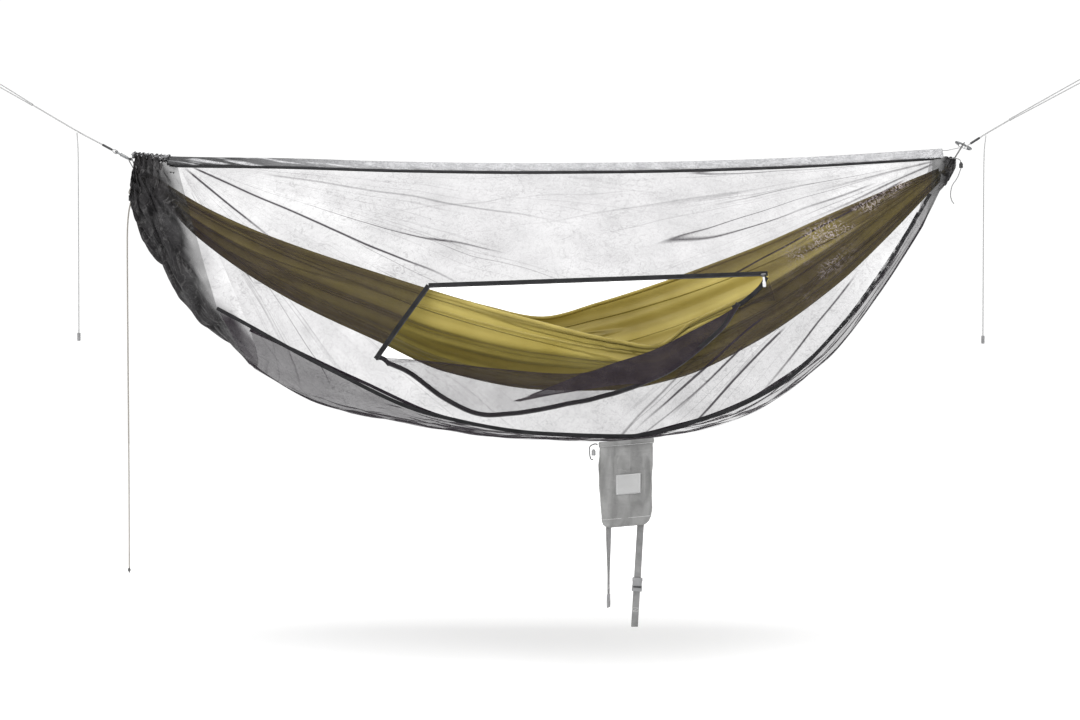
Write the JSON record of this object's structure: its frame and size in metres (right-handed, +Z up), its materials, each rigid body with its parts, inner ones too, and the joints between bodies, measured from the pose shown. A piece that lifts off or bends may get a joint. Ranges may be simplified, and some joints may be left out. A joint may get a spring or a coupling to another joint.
{
  "type": "camping hammock",
  "caption": "Gathered-end nylon hammock inside a zipped insect net with a ridge line, hung from adjustable cord slings, with a stuff sack on the net's lower seam.",
  "frame": {"origin": "the anchor point of the left sling, where its loop goes round the hook or tree strap", "axes": "+X runs level from the left anchor to the right anchor, +Y points away from the side with the door, +Z is up"},
  "size_m": [3.5691, 0.9028, 1.7101],
  "materials": {
    "olive_nylon": "thin ripstop nylon with a soft sheen",
    "dark_mesh": "fine see-through insect mesh",
    "silver_nylon": "silver coated nylon, wrinkled",
    "black_tape": "woven polyester tape",
    "grey_cord": "braided cord",
    "beige_cord": "braided cord",
    "black_plastic": "moulded, fine matt grain",
    "grey_plastic": "moulded, fine matt grain",
    "aluminium": "tumbled rod",
    "spring_steel": "bright drawn wire",
    "grey_nylon": "coated nylon, slightly shiny",
    "grey_webbing": "ribbed polyester webbing"
  },
  "bodies": {
    "hammock_and_net": {"door_zip_side": "black_tape", "door_zip_top": "black_tape", "hammock_body": "olive_nylon", "left_carabiner": "aluminium", "left_cord_lock": "black_plastic", "left_cord_lock_spring": "spring_steel", "left_drawcord": "beige_cord", "left_drawcord_knot": "black_plastic", "left_end_gather": "olive_nylon", "left_hammock_loop": "grey_cord", "left_sling_eye": "grey_cord", "left_sling_line": "grey_cord", "left_sling_loop": "grey_cord", "left_sling_tail": "grey_cord", "left_splice_sleeve": "black_plastic", "left_tail_sleeve": "grey_plastic", "net_bottom_panel": "dark_mesh", "net_far_panel": "dark_mesh", "net_left_bunch": "dark_mesh", "net_near_panel": "dark_mesh", "net_right_gather": "dark_mesh", "ridge_cover": "silver_nylon", "ridge_gather": "silver_nylon", "ridge_line": "grey_cord", "ridge_tape_far": "black_tape", "ridge_tape_near": "black_tape", "right_carabiner": "aluminium", "right_cord_lock": "black_plastic", "right_cord_lock_spring": "spring_steel", "right_drawcord": "black_tape", "right_end_gather": "olive_nylon", "right_hammock_loop": "grey_cord", "right_sling_eye": "grey_cord", "right_sling_line": "grey_cord", "right_sling_loop": "grey_cord", "right_sling_tail": "grey_cord", "right_splice_sleeve": "black_plastic", "right_tail_sleeve": "grey_plastic", "seam_tape_far": "black_tape", "seam_tape_near": "black_tape"},
    "left_gate": {"left_carabiner_gate": "spring_steel"},
    "right_gate": {"right_carabiner_gate": "spring_steel"},
    "left_lock_button": {"left_cord_lock_button": "black_plastic"},
    "right_lock_button": {"right_cord_lock_button": "black_plastic"},
    "sack_lock_button": {"sack_cord_lock_button": "grey_plastic"},
    "slider": {"zip_slider": "grey_plastic"},
    "pull": {"zip_pull": "silver_nylon"},
    "flap": {"door_flap": "dark_mesh", "flap_zip_tape": "black_tape"},
    "sack": {"stuff_sack": "grey_nylon", "sack_hem": "grey_nylon", "sack_patch": "silver_nylon", "sack_drawcord": "grey_cord", "sack_cord_lock": "grey_plastic", "sack_cord_lock_spring": "spring_steel"},
    "left_webbing": {"left_strap": "grey_webbing"},
    "male_half": {"male_buckle": "grey_plastic"},
    "right_webbing": {"right_strap": "grey_webbing"},
    "female_half": {"female_buckle": "grey_plastic"}
  },
  "joints": [
    {"name": "left_gate_swing", "type": "hinge", "parent": "hammock_and_net", "child": "left_gate", "pos_m": [0.43077, 0.0125, -0.24687], "axis": [-0.4741, 0, -0.8805], "range_deg": [0, 22], "stiffness_Nm_per_rad": 0.04, "springref_deg": -17.19},
    {"name": "right_gate_swing", "type": "hinge", "parent": "hammock_and_net", "child": "right_gate", "pos_m": [3.12251, 0.027, -0.2129], "axis": [-0.4416, 0, -0.8972], "range_deg": [0, 22], "stiffness_Nm_per_rad": 0.04, "springref_deg": -17.19},
    {"name": "left_button_press", "type": "slide", "parent": "hammock_and_net", "child": "left_lock_button", "axis": [0, 0, -1], "range_m": [0, 0.004], "stiffness_N_per_m": 300, "springref_m": -0.002, "deforming": ["left_cord_lock_spring"]},
    {"name": "right_button_press", "type": "slide", "parent": "hammock_and_net", "child": "right_lock_button", "axis": [0, 0, -1], "range_m": [0, 0.0032], "stiffness_N_per_m": 300, "springref_m": -0.002, "deforming": ["right_cord_lock_spring"]},
    {"name": "sack_button_press", "type": "slide", "parent": "sack", "child": "sack_lock_button", "axis": [0, 0, -1], "range_m": [0, 0.0032], "stiffness_N_per_m": 300, "springref_m": -0.002, "deforming": ["sack_cord_lock_spring"]},
    {"name": "slider_run", "type": "slide", "parent": "hammock_and_net", "child": "slider", "axis": [-0.9991, -0.0227, -0.036], "range_m": [0, 0.98]},
    {"name": "pull_swing", "type": "hinge", "parent": "slider", "child": "pull", "pos_m": [2.448, -0.30063, -0.657], "axis": [-1, 0, 0], "range_deg": [0, 150]},
    {"name": "flap_fold", "type": "hinge", "parent": "hammock_and_net", "child": "flap", "pos_m": [1.315, -0.4052, -0.912], "axis": [-0.9835, -0.0635, -0.1695], "range_deg": [0, 168]},
    {"name": "sack_swing", "type": "hinge", "parent": "hammock_and_net", "child": "sack", "pos_m": [2.028, -0.42059, -1.141], "axis": [1, 0, 0], "range_deg": [-40, 40]},
    {"name": "left_strap_swing", "type": "hinge", "parent": "sack", "child": "left_webbing", "pos_m": [1.976, -0.42059, -1.4035], "axis": [1, 0, 0], "range_deg": [-45, 45]},
    {"name": "male_half_swing", "type": "hinge", "parent": "left_webbing", "child": "male_half", "pos_m": [1.976, -0.42059, -1.5912], "axis": [0, 1, 0], "range_deg": [-45, 45]},
    {"name": "right_strap_swing", "type": "hinge", "parent": "sack", "child": "right_webbing", "pos_m": [2.07, -0.42059, -1.396], "axis": [1, 0, 0], "range_deg": [-45, 45]},
    {"name": "female_half_slide", "type": "slide", "parent": "right_webbing", "child": "female_half", "axis": [-0.0615, 0, -0.9981], "range_m": [-0.05, 0.08]}
  ],
  "couplings": [
    {"joint": "flap_fold", "follows": "slider_run", "rad_per_m": 2.9919}
  ]
}
